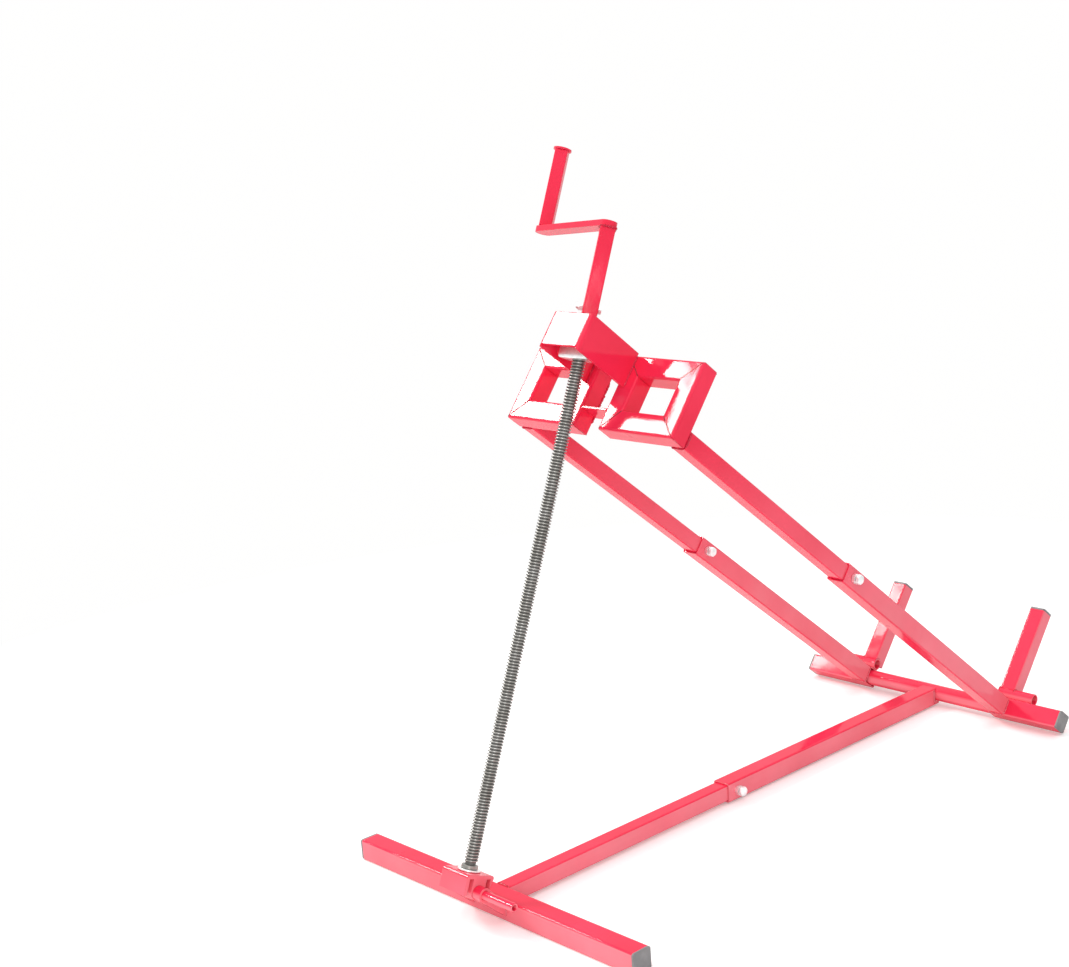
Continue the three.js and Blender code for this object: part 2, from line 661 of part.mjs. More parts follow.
function screwAndCrank() {
  const group = new THREE.Group();
  add(group, 'swivel_block', swivelBlock(), paint);
  add(group, 'thrust_washer', thrustWasher(), zinc);
  add(group, 'screw_rod', screwRod(), screwSteel);
  const socketParts = new THREE.Group();
  socketParts.rotation.z = SOCKET_TURN;
  add(socketParts, 'crank_socket', crankSocket(), paint);
  const boltHeight = socketStart + CROSS_BOLT_HEIGHT;
  add(socketParts, 'crank_cross_bolt', crossBolt(), zinc).position.z = boltHeight;
  add(socketParts, 'crank_cross_nut', capNut(), zinc).position.z = boltHeight;
  const crankParts = new THREE.Group();
  crankParts.rotation.z = CRANK_TURN;
  add(crankParts, 'crank_bar', crankBar(), paint);
  add(crankParts, 'grip_pin', gripPin(), paint).position.x = -CRANK_REACH;
  const grip = add(crankParts, 'grip_tube', gripTube(), paint);
  grip.position.x = -CRANK_REACH;
  grip.rotation.z = GRIP_TURN;
  group.add(socketParts, crankParts);
  return group;
}

// The whole lift, each group at its place

const lift = new THREE.Group();
lift.add(frontBase(), rearBase());

const liftFrame = new THREE.Group();
liftFrame.position.set(0, HINGE_FROM_FOOT, hingeHeight);
liftFrame.rotation.x = -ARM_SLOPE;
liftFrame.add(lowerLift(), upperLift());
lift.add(liftFrame);

const screwGroup = screwAndCrank();
screwGroup.position.set(0, -PIN_FROM_FOOT, PIN_HEIGHT);
screwGroup.rotation.x = -screwLean;
const nutMesh = add(screwGroup, 'swivel_nut', swivelNut(), zinc);
nutMesh.position.z = nutOnScrew;
lift.add(screwGroup);

export default lift;
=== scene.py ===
import json
import math

import bpy
from mathutils import Matrix, Vector, noise

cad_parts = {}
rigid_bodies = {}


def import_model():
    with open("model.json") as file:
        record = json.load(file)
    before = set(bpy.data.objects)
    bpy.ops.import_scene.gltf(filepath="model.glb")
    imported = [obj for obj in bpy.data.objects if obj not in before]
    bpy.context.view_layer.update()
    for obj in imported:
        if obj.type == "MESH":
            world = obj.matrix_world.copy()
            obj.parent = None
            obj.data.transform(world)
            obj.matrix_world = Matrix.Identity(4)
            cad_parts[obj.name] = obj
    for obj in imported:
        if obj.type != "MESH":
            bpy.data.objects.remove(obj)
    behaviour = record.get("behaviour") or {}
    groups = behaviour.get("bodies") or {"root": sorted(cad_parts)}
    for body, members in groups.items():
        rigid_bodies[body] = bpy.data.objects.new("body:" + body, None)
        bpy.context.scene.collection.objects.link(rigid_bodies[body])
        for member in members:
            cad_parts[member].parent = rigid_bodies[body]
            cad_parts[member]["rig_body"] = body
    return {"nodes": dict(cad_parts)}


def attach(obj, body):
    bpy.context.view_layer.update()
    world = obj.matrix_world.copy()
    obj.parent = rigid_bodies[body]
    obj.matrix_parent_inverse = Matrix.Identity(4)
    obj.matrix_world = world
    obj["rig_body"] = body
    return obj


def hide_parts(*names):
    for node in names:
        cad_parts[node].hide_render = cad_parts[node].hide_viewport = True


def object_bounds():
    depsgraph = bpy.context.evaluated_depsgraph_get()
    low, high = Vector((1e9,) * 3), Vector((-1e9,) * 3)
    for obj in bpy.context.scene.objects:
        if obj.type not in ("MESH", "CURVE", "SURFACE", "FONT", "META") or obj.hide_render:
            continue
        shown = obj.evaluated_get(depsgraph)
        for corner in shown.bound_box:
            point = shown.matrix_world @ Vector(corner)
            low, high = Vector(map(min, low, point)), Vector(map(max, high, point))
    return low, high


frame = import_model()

cad_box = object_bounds()
nodes = frame["nodes"]

# The photograph's width, and the camera that was fitted to the lift's edges in it. Its lens
# shift is half of the best fit's, so that views from other sides still hold the whole lift.
PHOTO_WIDTH = 1069
FOCAL_PIXELS = 1669.18
CENTRE_RIGHT = 164.97
CENTRE_DOWN = 99.18
CAMERA_AT = Vector((1.58641, -1.25984, 0.99058))
CAMERA_AZIMUTH = math.radians(43.415)
CAMERA_ELEVATION = math.radians(15.522)
CAMERA_ROLL = math.radians(-2.527)

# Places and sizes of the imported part, in metres
HINGE_Y = 0.988
HINGE_Z = 0.02105
ARM_SLOPE = math.radians(37.9)
TUBE = 0.030
SLIDE_TUBE = 0.025
WELD_GAP = 0.0003
BASE_Z = 0.0175
BASE_CLAMP_Y = 0.465
ARM_AT = 0.143
SLEEVE_END = 0.546
ARM_CLAMP_INSET = 0.020
STOP_RADIUS = 0.010
STOP_END = 0.195
POST_HALF = 0.014
CRADLE_FRONT = 0.97297
CRADLE_HALF_GAP = 0.0229
CRADLE_WIDTH = 0.1326
CRADLE_LOW = -0.0125
CRADLE_HIGH = 0.0975
HEAD_HALF = 0.037
HEAD_SHEET = 0.004
HEAD_LOW = 0.0495
PIN_Y = -0.047
PIN_Z = 0.050
PIN_LUG_AT = 0.0325
SCREW_LEAN = math.radians(21.634)
WASHER_LOW = 0.0223
COLLAR_LOW = 0.0251
COLLAR_HIGH = COLLAR_LOW + 0.005
SOCKET_START = 0.75504
SOCKET_TOP = 0.87104
SOCKET_HALF = 0.010
SOCKET_TURN = math.radians(50)
CROSS_AT = SOCKET_START + 0.009
CRANK_TURN = math.radians(-11.3)
CRANK_REACH = 0.158
CRANK_THICKNESS = 0.008

# The screw's trapezoidal thread: 18 mm over the crests, one turn every 4 mm
THREAD_CREST = 0.0090
THREAD_ROOT = 0.0068
THREAD_PITCH = 0.004

# The clamp screws, M8
CLAMP_FLATS = 0.013
CLAMP_CREST = 0.0040
CLAMP_ROOT = 0.0034
CLAMP_PITCH = 0.00125
CLAMP_HEAD_AT = 0.008


# Frames that pieces are made in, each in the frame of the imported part

def screw_frame(turn=0.0):
    """Its Z is the screw's axis, and its origin is on the axis of the pin at the foot."""
    lean = Matrix.Rotation(-SCREW_LEAN, 4, "X")
    return Matrix.Translation((0, PIN_Y, PIN_Z)) @ lean @ Matrix.Rotation(turn, 4, "Z")


Z_TO_X = Matrix.Rotation(math.pi / 2, 4, "Y")
Z_TO_MINUS_X = Matrix.Rotation(-math.pi / 2, 4, "Y")
HINGE = Matrix.Translation((0, HINGE_Y, HINGE_Z))
LIFT = HINGE @ Matrix.Rotation(-ARM_SLOPE, 4, "X")
SCREW = screw_frame()
SOCKET = screw_frame(SOCKET_TURN)
CRANK = screw_frame(CRANK_TURN)
SIDES = (("left", -1), ("right", 1))

# Colours, as linear red, green and blue
RED_DEEP = (0.80, 0.018, 0.058)
RED_BRIGHT = (0.92, 0.030, 0.084)
RED_SPECK = (0.45, 0.01, 0.02)
RED_WORN = (0.95, 0.30, 0.34)
# A painted reflection of the pale floor, for low upright faces
RED_FLOOR_REFLECTION = (0.96, 0.42, 0.47)
WELD_DEEP = (0.50, 0.008, 0.036)
WELD_BRIGHT = (0.72, 0.018, 0.06)
SEAM_DEEP = (0.10, 0.008, 0.012)
SEAM_BRIGHT = (0.42, 0.02, 0.04)
ZINC_DULL = (0.78, 0.79, 0.80)
ZINC_BRIGHT = (0.93, 0.93, 0.92)
# Painted shade in the screw thread's roots
STEEL_ROOT_SHADE = (0.15, 0.145, 0.14)
STEEL_RUBBED = (0.36, 0.355, 0.34)
STEEL_STAIN = (0.70, 0.69, 0.66)
NO_STAIN = (1.0, 1.0, 1.0)
CAP_DARK = (0.17, 0.165, 0.17)
CAP_PALE = (0.25, 0.24, 0.245)
FLOOR_DULL = (0.86, 0.855, 0.85)
FLOOR_PALE = (0.89, 0.885, 0.88)
FLOOR_GLOW_COLOUR = (1, 0.995, 0.99)
ROOM_WHITE = (1, 0.998, 0.995)
ROOM_LIGHT = (0.45, 0.45, 0.455)
LAMP_WHITE = (1, 1, 1)
LAMP_WARM = (1, 0.985, 0.94)

# The floor: its size, how far below the part it lies, what it adds to its own colour where it is
# seen, and how far from its middle its shadows start to run out to white and have done so
FLOOR_RADIUS = 3.4
FLOOR_DROP = 0.0004
FLOOR_GLOW = 0.24
FLOOR_SHADE = 1.0
FLOOR_SHADE_END = FLOOR_SHADE * 1.8

# The middle of a noise's range, where its colours and numbers change over
NOISE_LOW = 0.3
NOISE_HIGH = 0.7

# Upright paint carries a painted reflection of the pale floor below the second height, and none
# above the first
REFLECTION_NONE_ABOVE = 0.60
REFLECTION_FULL_BELOW = 0.20


# Materials. Object coordinates are metres of the whole part, because every mesh holds its place

class Shader:
    def __init__(self, name):
        self.material = bpy.data.materials.new(name)
        self.material.use_nodes = True
        self.tree = self.material.node_tree
        self.surface = self.tree.nodes["Principled BSDF"]
        self.coordinates = self.add("ShaderNodeTexCoord")
        self.place = self.coordinates.outputs["Object"]

    def add(self, kind, **settings):
        node = self.tree.nodes.new(kind)
        for key, value in settings.items():
            setattr(node, key, value)
        return node

    def feed(self, socket, value):
        if isinstance(value, bpy.types.NodeSocket):
            self.tree.links.new(value, socket)
        else:
            socket.default_value = value

    def set(self, name, value):
        self.feed(self.surface.inputs[name], value)

    def noise(self, scale, detail, roughness=0.5):
        node = self.add("ShaderNodeTexNoise")
        self.feed(node.inputs["Vector"], self.place)
        node.inputs["Scale"].default_value = scale
        node.inputs["Detail"].default_value = detail
        node.inputs["Roughness"].default_value = roughness
        return node.outputs["Fac"]

    def two_tone(self, factor, first, second, low=NOISE_LOW, high=NOISE_HIGH):
        """The first colour below low, the second above high, and a run between them."""
        node = self.add("ShaderNodeValToRGB")
        stops = ((low, first), (high, second))
        for element, (at, colour) in zip(node.color_ramp.elements, stops):
            element.position = at
            element.color = (*colour, 1)
        self.feed(node.inputs["Fac"], factor)
        return node.outputs["Color"]

    def spread(self, factor, low, high, to_low=0.0, to_high=1.0):
        """to_low below low, to_high above high, and a run between them."""
        node = self.add("ShaderNodeMapRange")
        ends = {"From Min": low, "From Max": high, "To Min": to_low, "To Max": to_high}
        for name, value in ends.items():
            node.inputs[name].default_value = value
        self.feed(node.inputs["Value"], factor)
        return node.outputs["Result"]

    def vary(self, factor, to_low, to_high):
        """A spread over the middle of a noise."""
        return self.spread(factor, NOISE_LOW, NOISE_HIGH, to_low, to_high)

    def math(self, kind, a, b):
        node = self.add("ShaderNodeMath", operation=kind)
        self.feed(node.inputs[0], a)
        self.feed(node.inputs[1], b)
        return node.outputs[0]

    def times(self, a, b):
        return self.math("MULTIPLY", a, b)

    def mix(self, factor, a, b, kind="MIX"):
        node = self.add("ShaderNodeMix", data_type="RGBA", blend_type=kind)
        self.feed(node.inputs[0], factor)
        for socket, colour in ((node.inputs[6], a), (node.inputs[7], b)):
            linked = isinstance(colour, bpy.types.NodeSocket)
            self.feed(socket, colour if linked else (*colour, 1))
        return node.outputs[2]

    def vector(self, kind, a, b):
        """A vector node with a fed from a socket, and b from a socket or fixed."""
        node = self.add("ShaderNodeVectorMath", operation=kind)
        self.feed(node.inputs[0], a)
        self.feed(node.inputs[1], b)
        return node.outputs

    def length(self, a):
        node = self.add("ShaderNodeVectorMath", operation="LENGTH")
        self.feed(node.inputs[0], a)
        return node.outputs["Value"]

    def upwards(self, a):
        """The Z of a vector."""
        node = self.add("ShaderNodeSeparateXYZ")
        self.feed(node.inputs[0], a)
        return node.outputs["Z"]

    def bump(self, height, distance, strength, normal=None):
        node = self.add("ShaderNodeBump")
        node.inputs["Distance"].default_value = distance
        node.inputs["Strength"].default_value = strength
        self.feed(node.inputs["Height"], height)
        if normal is not None:
            self.feed(node.inputs["Normal"], normal)
        return node.outputs["Normal"]

    def soft_edges(self, radius):
        node = self.add("ShaderNodeBevel", samples=6)
        node.inputs["Radius"].default_value = radius
        return node.outputs["Normal"]

    def edges(self, radius, sharp, flat):
        """1 where the piece has an edge and 0 on its faces."""
        true = self.add("ShaderNodeNewGeometry").outputs["True Normal"]
        dot = self.vector("DOT_PRODUCT", self.soft_edges(radius), true)["Value"]
        return self.spread(dot, flat, sharp)

    def low_side_painted_reflection(self, most):
        """The share of a painted floor reflection: up to most on upright faces near the floor,
        and 0 elsewhere.

        It isn't known wear of the real paint. It stands in for the pale floor that these faces
        seem to reflect in the photograph.
        """
        low = self.spread(self.upwards(self.place), REFLECTION_NONE_ABOVE, REFLECTION_FULL_BELOW)
        normal = self.coordinates.outputs["Normal"]
        level = self.math("ABSOLUTE", self.upwards(normal), 0.0)
        upright = self.spread(level, low=0.60, high=0.25)
        cloud = self.noise(scale=7, detail=4)
        patchy = self.spread(cloud, low=0.25, high=0.65, to_low=0.65, to_high=1.0)
        return self.times(self.times(low, upright), self.times(patchy, most))


def red_paint(name, deep=RED_DEEP, bright=RED_BRIGHT, wear=1.0):
    """Gloss paint under a clear coat, with dark specks, rubbed edges, orange peel, and a painted
    reflection of the floor on low upright faces.
    """
    speck_share = 0.20
    worn_share = 0.55 * wear
    floor_reflection_share = 0.45
    s = Shader(name)
    base = s.two_tone(s.noise(scale=9, detail=4), deep, bright)
    speck = s.spread(s.noise(scale=1400, detail=2), low=0.70, high=0.76)
    base = s.mix(s.times(speck, speck_share), base, RED_SPECK)
    edge = s.edges(radius=0.0016, sharp=0.80, flat=0.97)
    rub = s.spread(s.noise(scale=60, detail=5, roughness=0.7), low=0.52, high=0.66)
    base = s.mix(s.times(s.times(edge, rub), worn_share), base, RED_WORN)
    # Low upright faces get a painted reflection of the pale floor, mixed into the paint's colour
    s.set("Base Color", s.mix(s.low_side_painted_reflection(floor_reflection_share), base, RED_FLOOR_REFLECTION))
    s.set("Roughness", s.vary(s.noise(scale=35, detail=4), 0.26, 0.38))
    s.set("Coat Weight", 0.65)
    s.set("Coat Roughness", s.vary(s.noise(scale=18, detail=3), 0.04, 0.08))
    s.set("Coat IOR", 1.40)
    s.set("IOR", 1.05)
    rounded = s.soft_edges(radius=0.0012)
    wavy = s.bump(s.noise(scale=14, detail=2), distance=0.0012, strength=0.5, normal=rounded)
    peel = s.bump(s.noise(scale=420, detail=2), distance=0.00005, strength=0.5, normal=wavy)
    s.set("Normal", peel)
    s.set("Coat Normal", peel)
    return s.material


def zinc_plate(name):
    s = Shader(name)
    s.set("Base Color", s.two_tone(s.noise(scale=260, detail=3), ZINC_DULL, ZINC_BRIGHT))
    s.set("Metallic", 1.0)
    s.set("Roughness", s.vary(s.noise(scale=700, detail=3), 0.34, 0.50))
    grain = s.noise(scale=1500, detail=2)
    rounded = s.soft_edges(radius=0.0004)
    s.set("Normal", s.bump(grain, distance=0.00004, strength=0.6, normal=rounded))
    return s.material


def screw_steel(name):
    """Rubbed on the crests and darkened in the gaps by painted shade, by how far it is from the
    axis.
    """
    s = Shader(name)
    away = s.vector("SUBTRACT", s.place, (0, PIN_Y, PIN_Z))["Vector"]
    axis = (0, math.sin(SCREW_LEAN), math.cos(SCREW_LEAN))
    radius = s.length(s.vector("CROSS_PRODUCT", away, axis)["Vector"])
    height = s.spread(radius, THREAD_ROOT, THREAD_CREST)
    # Painted shade: darker in the thread's roots, and the rubbed steel colour on the crests
    root_shaded = s.two_tone(height, STEEL_ROOT_SHADE, STEEL_RUBBED, low=0.35, high=0.90)
    stain = s.two_tone(s.noise(scale=40, detail=4), STEEL_STAIN, NO_STAIN)
    s.set("Base Color", s.mix(1.0, root_shaded, stain, "MULTIPLY"))
    s.set("Metallic", s.spread(height, low=0.2, high=0.8, to_low=0.4, to_high=1.0))
    uneven = s.math("ADD", height, s.noise(scale=300, detail=3))
    s.set("Roughness", s.spread(uneven, low=0.4, high=1.6, to_low=0.55, to_high=0.30))
    s.set("Normal", s.bump(s.noise(scale=900, detail=3), distance=0.00005, strength=0.5))
    return s.material


def cap_plastic(name):
    s = Shader(name)
    s.set("Base Color", s.two_tone(s.noise(scale=50, detail=5), CAP_DARK, CAP_PALE))
    s.set("Roughness", s.vary(s.noise(scale=120, detail=3), 0.42, 0.62))
    grain = s.noise(scale=1800, detail=2)
    rounded = s.soft_edges(radius=0.0008)
    s.set("Normal", s.bump(grain, distance=0.00008, strength=0.5, normal=rounded))
    return s.material


def seam_dark(name):
    s = Shader(name)
    cloud = s.noise(scale=260, detail=4)
    s.set("Base Color", s.two_tone(cloud, SEAM_DEEP, SEAM_BRIGHT, low=0.35, high=0.65))
    s.set("Roughness", s.vary(s.noise(scale=200, detail=3), 0.4, 0.7))
    s.set("Normal", s.bump(s.noise(scale=800, detail=3), distance=0.0001, strength=0.6))
    return s.material


def seen_directly(tree):
    """1 for what the camera, a reflection or a refraction sees, and 0 for light on the object."""
    path = tree.nodes.new("ShaderNodeLightPath")
    total = path.outputs["Is Camera Ray"]
    for kind in ("Is Glossy Ray", "Is Transmission Ray"):
        node = tree.nodes.new("ShaderNodeMath")
        node.operation = "MAXIMUM"
        tree.links.new(total, node.inputs[0])
        tree.links.new(path.outputs[kind], node.inputs[1])
        total = node.outputs[0]
    return total


def floor_material(name):
    """A pale floor that keeps its shadows near the lift and runs out to plain white."""
    s = Shader(name)
    s.set("Base Color", s.two_tone(s.noise(scale=1.2, detail=5), FLOOR_DULL, FLOOR_PALE))
    s.set("Roughness", s.vary(s.noise(scale=3, detail=4), 0.50, 0.60))
    s.set("Normal", s.bump(s.noise(scale=220, detail=3), distance=0.0002, strength=0.4))
    seen = seen_directly(s.tree)
    s.set("Emission Color", (*FLOOR_GLOW_COLOUR, 1))
    s.set("Emission Strength", s.times(seen, FLOOR_GLOW))
    far = s.spread(s.length(s.place), FLOOR_SHADE, FLOOR_SHADE_END)
    white = s.add("ShaderNodeEmission")
    white.inputs["Color"].default_value = (*ROOM_WHITE, 1)
    blend = s.add("ShaderNodeMixShader")
    s.feed(blend.inputs[0], s.times(far, seen))
    s.feed(blend.inputs[1], s.surface.outputs["BSDF"])
    s.feed(blend.inputs[2], white.outputs["Emission"])
    s.feed(s.tree.nodes["Material Output"].inputs["Surface"], blend.outputs[0])
    return s.material


PAINT = red_paint("lift_red_paint")
WELD_PAINT = red_paint("lift_weld_paint", WELD_DEEP, WELD_BRIGHT, wear=0.4)
ZINC = zinc_plate("lift_zinc")
STEEL = screw_steel("lift_screw_steel")
PLASTIC = cap_plastic("lift_grey_plastic")
SEAM = seam_dark("lift_seam")
FINISH = {"red_paint": PAINT, "zinc": ZINC, "screw_steel": STEEL, "grey_plastic": PLASTIC}

for node in nodes.values():
    for place in node.material_slots:
        place.material = FINISH[place.material.name.split(".")[0]]


# Mesh helpers. A shape is a pair of points and faces

SMOOTH_BELOW = math.radians(40)
ON_AXIS = 1e-7


def add_to_scene(thing):
    bpy.context.scene.collection.objects.link(thing)


def piece(name, shape, material, body, stands_for=(), matrix=None):
    points, faces = shape
    mesh = bpy.data.meshes.new(name)
    if matrix is not None:
        points = [matrix @ Vector(p) for p in points]
    mesh.from_pydata([tuple(p) for p in points], [], faces)
    mesh.validate()
    mesh.materials.append(material)
    mesh.shade_smooth()
    thing = bpy.data.objects.new(name, mesh)
    add_to_scene(thing)
    mesh.set_sharp_from_angle(angle=SMOOTH_BELOW)
    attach(thing, body)
    if stands_for:
        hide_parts(*stands_for)


def body_of(node):
    return nodes[node]["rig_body"]


def replace_node(name, shape, material, node, matrix=None):
    piece(name, shape, material, body_of(node), [node], matrix)


def merge(*parts):
    """Joins (points, faces, matrix) groups into one shape."""
    points = []
    faces = []
    for some_points, some_faces, matrix in parts:
        start = len(points)
        points += [matrix @ Vector(p) for p in some_points]
        faces += [tuple(start + i for i in f) for f in some_faces]
    return points, faces


def band(low, high, count):
    """Faces between two closed rows of points that start at low and high."""
    return [(low + i, low + (i + 1) % count, high + (i + 1) % count, high + i)
            for i in range(count)]


def lathe(profile, steps=48, closed=False):
    """(radius, height) pairs turned about Z. An open profile starts and ends on the axis."""
    points = []
    faces = []
    rows = []
    for radius, height in profile:
        if radius < ON_AXIS:
            rows.append([len(points)])
            points.append((0, 0, height))
            continue
        rows.append(list(range(len(points), len(points) + steps)))
        for i in range(steps):
            a = 2 * math.pi * i / steps
            points.append((radius * math.cos(a), radius * math.sin(a), height))
    pairs = list(zip(rows, rows[1:]))
    if closed:
        pairs.append((rows[-1], rows[0]))
    for low, high in pairs:
        for i in range(steps):
            j = (i + 1) % steps
            if len(low) == 1:
                faces.append((low[0], high[j], high[i]))
            elif len(high) == 1:
                faces.append((low[i], low[j], high[0]))
            else:
                faces.append((low[i], low[j], high[j], high[i]))
    return points, faces


# Hexagons: where the turned chamfer starts, as a share of the half width, its slope, and how
# much wider than the bore its lead-in is
CHAMFER_FROM = 0.97
CHAMFER_SLOPE = math.tan(math.radians(30))
LEAD_IN = 1.12
HEXAGON_STEPS = 72


def hexagon(flats, height, bore=0.0, both=False):
    """A head or nut along Z, turned to a chamfer on its far face or on both, and bored."""
    turned = flats / 2 * CHAMFER_FROM

    def side(a):
        part = (a + math.pi / 6) % (math.pi / 3) - math.pi / 6
        return flats / 2 / math.cos(part)

    def drop(a):
        return (side(a) - turned) * CHAMFER_SLOPE

    def even(value):
        return lambda a: value

    rings = [(even(turned), even(0.0))] if both else []
    rings.append((side, drop if both else even(0.0)))
    rings.append((side, lambda a: height - drop(a)))
    rings.append((even(turned), even(height)))
    if bore:
        inner = bore / 2
        lead = bore / 2 * LEAD_IN
        rings.append((even(lead), even(height)))
        rings.append((even(inner), even(height - (lead - inner))))
        rings.append((even(inner), even(0.0)))
    count = HEXAGON_STEPS
    angles = [2 * math.pi * i / count for i in range(count)]
    points = [(radius(a) * math.cos(a), radius(a) * math.sin(a), rise(a))
              for radius, rise in rings for a in angles]
    faces = []
    for k in range(len(rings) - 1):
        faces += band(k * count, (k + 1) * count, count)
    last = (len(rings) - 1) * count
    if bore:
        faces += band(last, 0, count)
    else:
        faces.append(tuple(range(last, last + count)))
        faces.append(tuple(reversed(range(count))))
    return points, faces


# Threads: half the crest's width, half the foot's and the rounding, as shares of the pitch
HALF_CREST = 0.183
HALF_FOOT = 0.317
CREST_SOFT = 0.06
HELIX_STEPS = 32


def helix(crest, root, pitch, sink, low, high):
    """A ridge wound on a core. sink is how far inside the core it starts, and it runs out over
    its first and last turns."""
    half_crest = HALF_CREST * pitch
    half_foot = HALF_FOOT * pitch
    soft = CREST_SOFT * pitch
    turns = (high - low) / pitch - 2 * half_foot / pitch
    count = int(turns * HELIX_STEPS)
    points = []
    faces = []
    for i in range(count + 1):
        a = 2 * math.pi * i / HELIX_STEPS
        z = low + half_foot + pitch * i / HELIX_STEPS
        grow = min(1.0, i / HELIX_STEPS, (count - i) / HELIX_STEPS)
        out = root + (crest - root) * grow
        profile = ((root - sink, -half_foot), (out - soft, -half_crest - soft / 3),
                   (out, -half_crest + soft), (out, half_crest - soft),
                   (out - soft, half_crest + soft / 3), (root - sink, half_foot))
        points += [(r * math.cos(a), r * math.sin(a), z + dz) for r, dz in profile]
    sides = len(profile)
    for i in range(count):
        near, far = sides * i, sides * i + sides
        for k in range(sides):
            m = (k + 1) % sides
            faces.append((near + k, far + k, far + m, near + m))
    faces.append(tuple(range(sides)))
    faces.append(tuple(reversed(range(sides * count, sides * count + sides))))
    return points, faces


# Weld beads: the distance between rings, how the radius follows the ripples, how the ends taper,
# how quickly the lumps change along the bead, and the seeds that tell beads apart
BEAD_STEP = 0.0007
RIPPLE_FLOOR = 0.86
RIPPLE_RISE = 0.16
TAPER_FROM = 0.25
TAPER_STEPS = 5
LUMP_RATE = 420
WANDER_RATE = 260
WANDER_SIDE_SEED = 7
WANDER_UP_SEED = 13
SEED_STEP = 3.7
STEEP = 0.9


def bead(path, radius, seed, ripple=0.0022, lump=0.22, sides=8):
    """A closed round strip with ripples along a line of points, sunk into what it joins."""
    path = [Vector(p) for p in path]
    centres = []
    for a, b in zip(path, path[1:]):
        n = max(2, int((b - a).length / BEAD_STEP))
        centres += [a.lerp(b, i / n) for i in range(n)]
    centres.append(path[-1])
    points = []
    faces = []
    run = 0.0
    last = centres[0]
    total = len(centres) - 1
    for i, c in enumerate(centres):
        run += (c - last).length
        last = c
        ahead = centres[min(i + 1, total)] - centres[max(i - 1, 0)]
        along = ahead.normalized()
        up = Vector((0, 0, 1)) if abs(along.z) < STEEP else Vector((1, 0, 0))
        side = along.cross(up).normalized()
        up = side.cross(along)
        wave = abs(math.sin(math.pi * run / ripple))
        wild = noise.noise(Vector((run * LUMP_RATE, seed, 0)))
        taper = min(1.0, TAPER_FROM + i / TAPER_STEPS, TAPER_FROM + (total - i) / TAPER_STEPS)
        r = radius * (RIPPLE_FLOOR + RIPPLE_RISE * wave + lump * wild) * taper
        wander = run * WANDER_RATE
        sideways = noise.noise(Vector((wander, seed, WANDER_SIDE_SEED)))
        upwards = noise.noise(Vector((wander, seed, WANDER_UP_SEED)))
        c = c + (side * sideways + up * upwards) * radius * lump
        for k in range(sides):
            t = 2 * math.pi * k / sides
            points.append(c + side * (r * math.cos(t)) + up * (r * math.sin(t)))
    for i in range(total):
        faces += band(sides * i, sides * i + sides, sides)
    faces.append(tuple(reversed(range(sides))))
    faces.append(tuple(range(sides * total, sides * total + sides)))
    return points, faces


def weld(name, paths, radius, body, matrix=None, material=None, **form):
    """One bead along each path. The number of letters in the name is part of their seeds."""
    parts = []
    for i, path in enumerate(paths):
        shape = bead(path, radius, SEED_STEP * i + len(name), **form)
        parts.append((*shape, matrix or Matrix.Identity(4)))
    piece(name, merge(*parts), material or WELD_PAINT, body)


# The screw and its washer

def screw_piece():
    """Journal, collar, threaded shank, and the plain end that stands in the crank's socket."""
    journal = 0.0060
    journal_low = 0.0100
    journal_soft = 0.0006
    collar = 0.0110
    collar_soft = 0.0005
    shank_low = COLLAR_HIGH + 0.0004
    shank_high = SOCKET_START - 0.003
    thread_low = COLLAR_HIGH + 0.0006
    thread_high = SOCKET_START - 0.002
    plain = 0.0079
    plain_low = SOCKET_START - 0.001
    plain_high = SOCKET_START + 0.050
    plain_soft_radius = 0.0009
    plain_soft_height = 0.001
    core = lathe([
        (0, journal_low), (journal - journal_soft, journal_low),
        (journal, journal_low + journal_soft), (journal, COLLAR_LOW),
        (collar - collar_soft, COLLAR_LOW), (collar, COLLAR_LOW + collar_soft),
        (collar, COLLAR_HIGH - collar_soft), (collar - collar_soft, COLLAR_HIGH),
        (THREAD_ROOT, shank_low), (THREAD_ROOT, shank_high), (plain, plain_low),
        (plain, plain_high - plain_soft_height), (plain - plain_soft_radius, plain_high),
        (0, plain_high),
    ])
    ridge = helix(THREAD_CREST, THREAD_ROOT, THREAD_PITCH, sink=0.0005,
                  low=thread_low, high=thread_high)
    shape = merge((*core, SCREW), (*ridge, SCREW))
    replace_node("screw_with_thread", shape, STEEL, "screw_rod")


def washer_piece():
    low = WASHER_LOW
    high = WASHER_LOW + 0.0025
    bore = 0.0064
    radius = 0.0150
    soft = 0.0004
    shape = lathe([(bore, low), (radius - soft, low), (radius, low + soft),
                   (radius, high - soft), (radius - soft, high), (bore, high)], 64, True)
    replace_node("thrust_washer_turned", shape, ZINC, "thrust_washer", SCREW)


# Clamp screws: a nut welded on the sleeve, and a hexagon head screw with a threaded shank

def clamp_pieces(tag, at, nut_node, screw_node):
    place = at @ Z_TO_X
    nut = hexagon(CLAMP_FLATS, height=0.0065, bore=0.0086, both=True)
    replace_node(f"clamp_nut_{tag}", nut, ZINC, nut_node, place)
    seat = place @ Matrix.Translation((0, 0, CLAMP_HEAD_AT))
    head = hexagon(CLAMP_FLATS, height=0.0053)
    collar = lathe([(0, -0.0003), (0.0060, -0.0003), (0.0060, 0.0002), (0, 0.0002)])
    dome = lathe([(0, 0.0050), (0.0056, 0.0052), (0.0044, 0.0058), (0.0024, 0.0062),
                  (0, 0.0063)])
    shank = lathe([(0, -0.0095), (0.0030, -0.0095), (CLAMP_ROOT, -0.0090),
                   (CLAMP_ROOT, 0.0010), (0, 0.0010)], 40)
    ridge = helix(CLAMP_CREST, CLAMP_ROOT, CLAMP_PITCH, sink=0.0002, low=-0.0093, high=0.0005)
    shape = merge(*((*part, seat) for part in (head, collar, dome, shank, ridge)))
    replace_node(f"clamp_screw_{tag}", shape, ZINC, screw_node)


